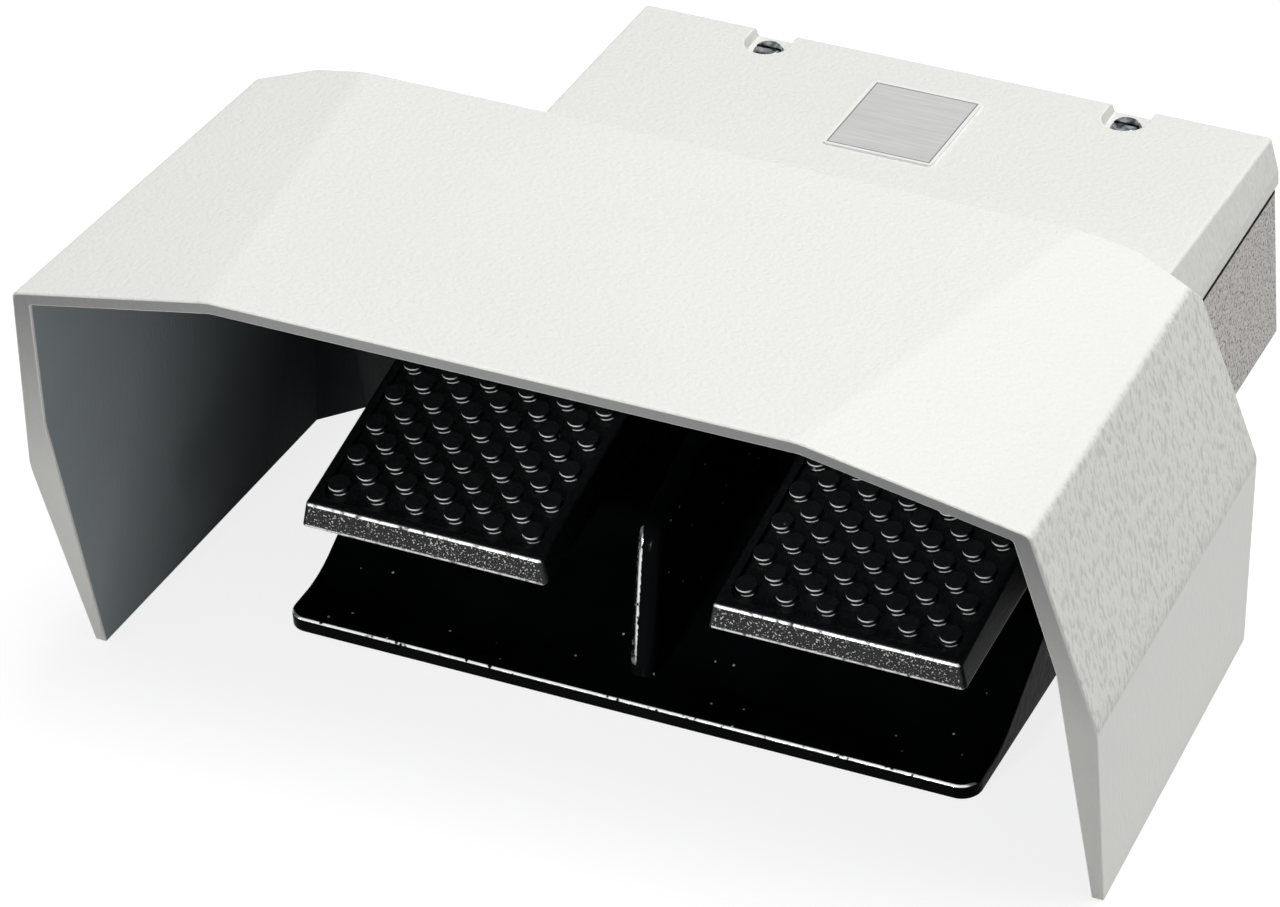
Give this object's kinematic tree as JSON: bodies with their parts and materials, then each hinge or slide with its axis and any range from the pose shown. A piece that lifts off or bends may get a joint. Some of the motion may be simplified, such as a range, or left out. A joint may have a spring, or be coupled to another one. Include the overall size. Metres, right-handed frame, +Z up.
{
  "type": "two-pedal industrial foot switch with protective hood",
  "caption": "Heavy-duty foot switch: two hinged pedals with studded rubber treads on a black cast base, under a folded protective hood, with a covered switch housing behind.",
  "frame": {"origin": "on the floor, in the middle of the switch's outline", "axes": "+X to the right as a seated user sees it from the pedals' front, +Y from the pedals' toe end to the cable entry, +Z up"},
  "size_m": [0.3274, 0.2938, 0.1583],
  "materials": {
    "grey_enamel": "light grey baked enamel with a fine wrinkle",
    "warm_grey_enamel": "warm grey speckled enamel",
    "black_enamel": "glossy black enamel over cast iron",
    "tread_rubber": "satin moulded rubber",
    "black_rubber": "matt moulded rubber",
    "zinc_steel": "zinc-plated steel",
    "ground_steel": "ground steel",
    "spring_steel": "oiled spring steel",
    "plate_aluminium": "brushed aluminium sheet, bare",
    "bearing_brass": "turned brass",
    "terminal_brass": "machined brass",
    "contact_plastic": "dark moulded thermoset",
    "slide_plastic": "ivory moulded plastic"
  },
  "bodies": {
    "base": {"base_casting": "black_enamel", "base_screws": "zinc_steel", "rubber_feet": "black_rubber", "hood": "grey_enamel", "hood_screws": "zinc_steel", "switch_housing": "warm_grey_enamel", "cover_gasket": "black_rubber", "housing_cover": "grey_enamel", "cover_screws": "zinc_steel", "nameplate": "plate_aluminium", "rod_bushings": "bearing_brass", "shaft_clips": "zinc_steel", "contact_carrier": "zinc_steel", "carrier_screws": "zinc_steel", "terminal_screws": "terminal_brass", "earth_screw": "terminal_brass", "earth_washer": "zinc_steel", "pedal_shaft_left": "ground_steel", "pedal_shaft_right": "ground_steel", "return_spring_left": "spring_steel", "return_spring_right": "spring_steel", "stop_buffer_left": "black_rubber", "stop_buffer_right": "black_rubber", "contact_block_left": "contact_plastic", "contact_block_right": "contact_plastic"},
    "pedal_left": {"pedal_left": "black_enamel", "tread_pad_left": "tread_rubber"},
    "plunger_left": {"push_rod_left": "ground_steel", "contact_slide_left": "slide_plastic"},
    "pedal_right": {"pedal_right": "black_enamel", "tread_pad_right": "tread_rubber"},
    "plunger_right": {"push_rod_right": "ground_steel", "contact_slide_right": "slide_plastic"}
  },
  "joints": [
    {"name": "pedal_left_hinge", "type": "hinge", "parent": "base", "child": "pedal_left", "pos_m": [-0.0648, -0.0062, 0.044], "axis": [1, 0, 0], "range_deg": [0, 9], "stiffness_Nm_per_rad": 15, "springref_deg": -6.88, "deforming": ["return_spring_left"]},
    {"name": "plunger_left_slide", "type": "slide", "parent": "base", "child": "plunger_left", "axis": [0, 1, 0], "range_m": [0, 0.0035]},
    {"name": "pedal_right_hinge", "type": "hinge", "parent": "base", "child": "pedal_right", "pos_m": [0.0648, -0.0062, 0.044], "axis": [1, 0, 0], "range_deg": [0, 9], "stiffness_Nm_per_rad": 15, "springref_deg": -6.88, "deforming": ["return_spring_right"]},
    {"name": "plunger_right_slide", "type": "slide", "parent": "base", "child": "plunger_right", "axis": [0, 1, 0], "range_m": [0, 0.0035]}
  ],
  "couplings": [
    {"joint": "plunger_left_slide", "follows": "pedal_left_hinge", "m_per_rad": 0.022},
    {"joint": "plunger_right_slide", "follows": "pedal_right_hinge", "m_per_rad": 0.022}
  ]
}
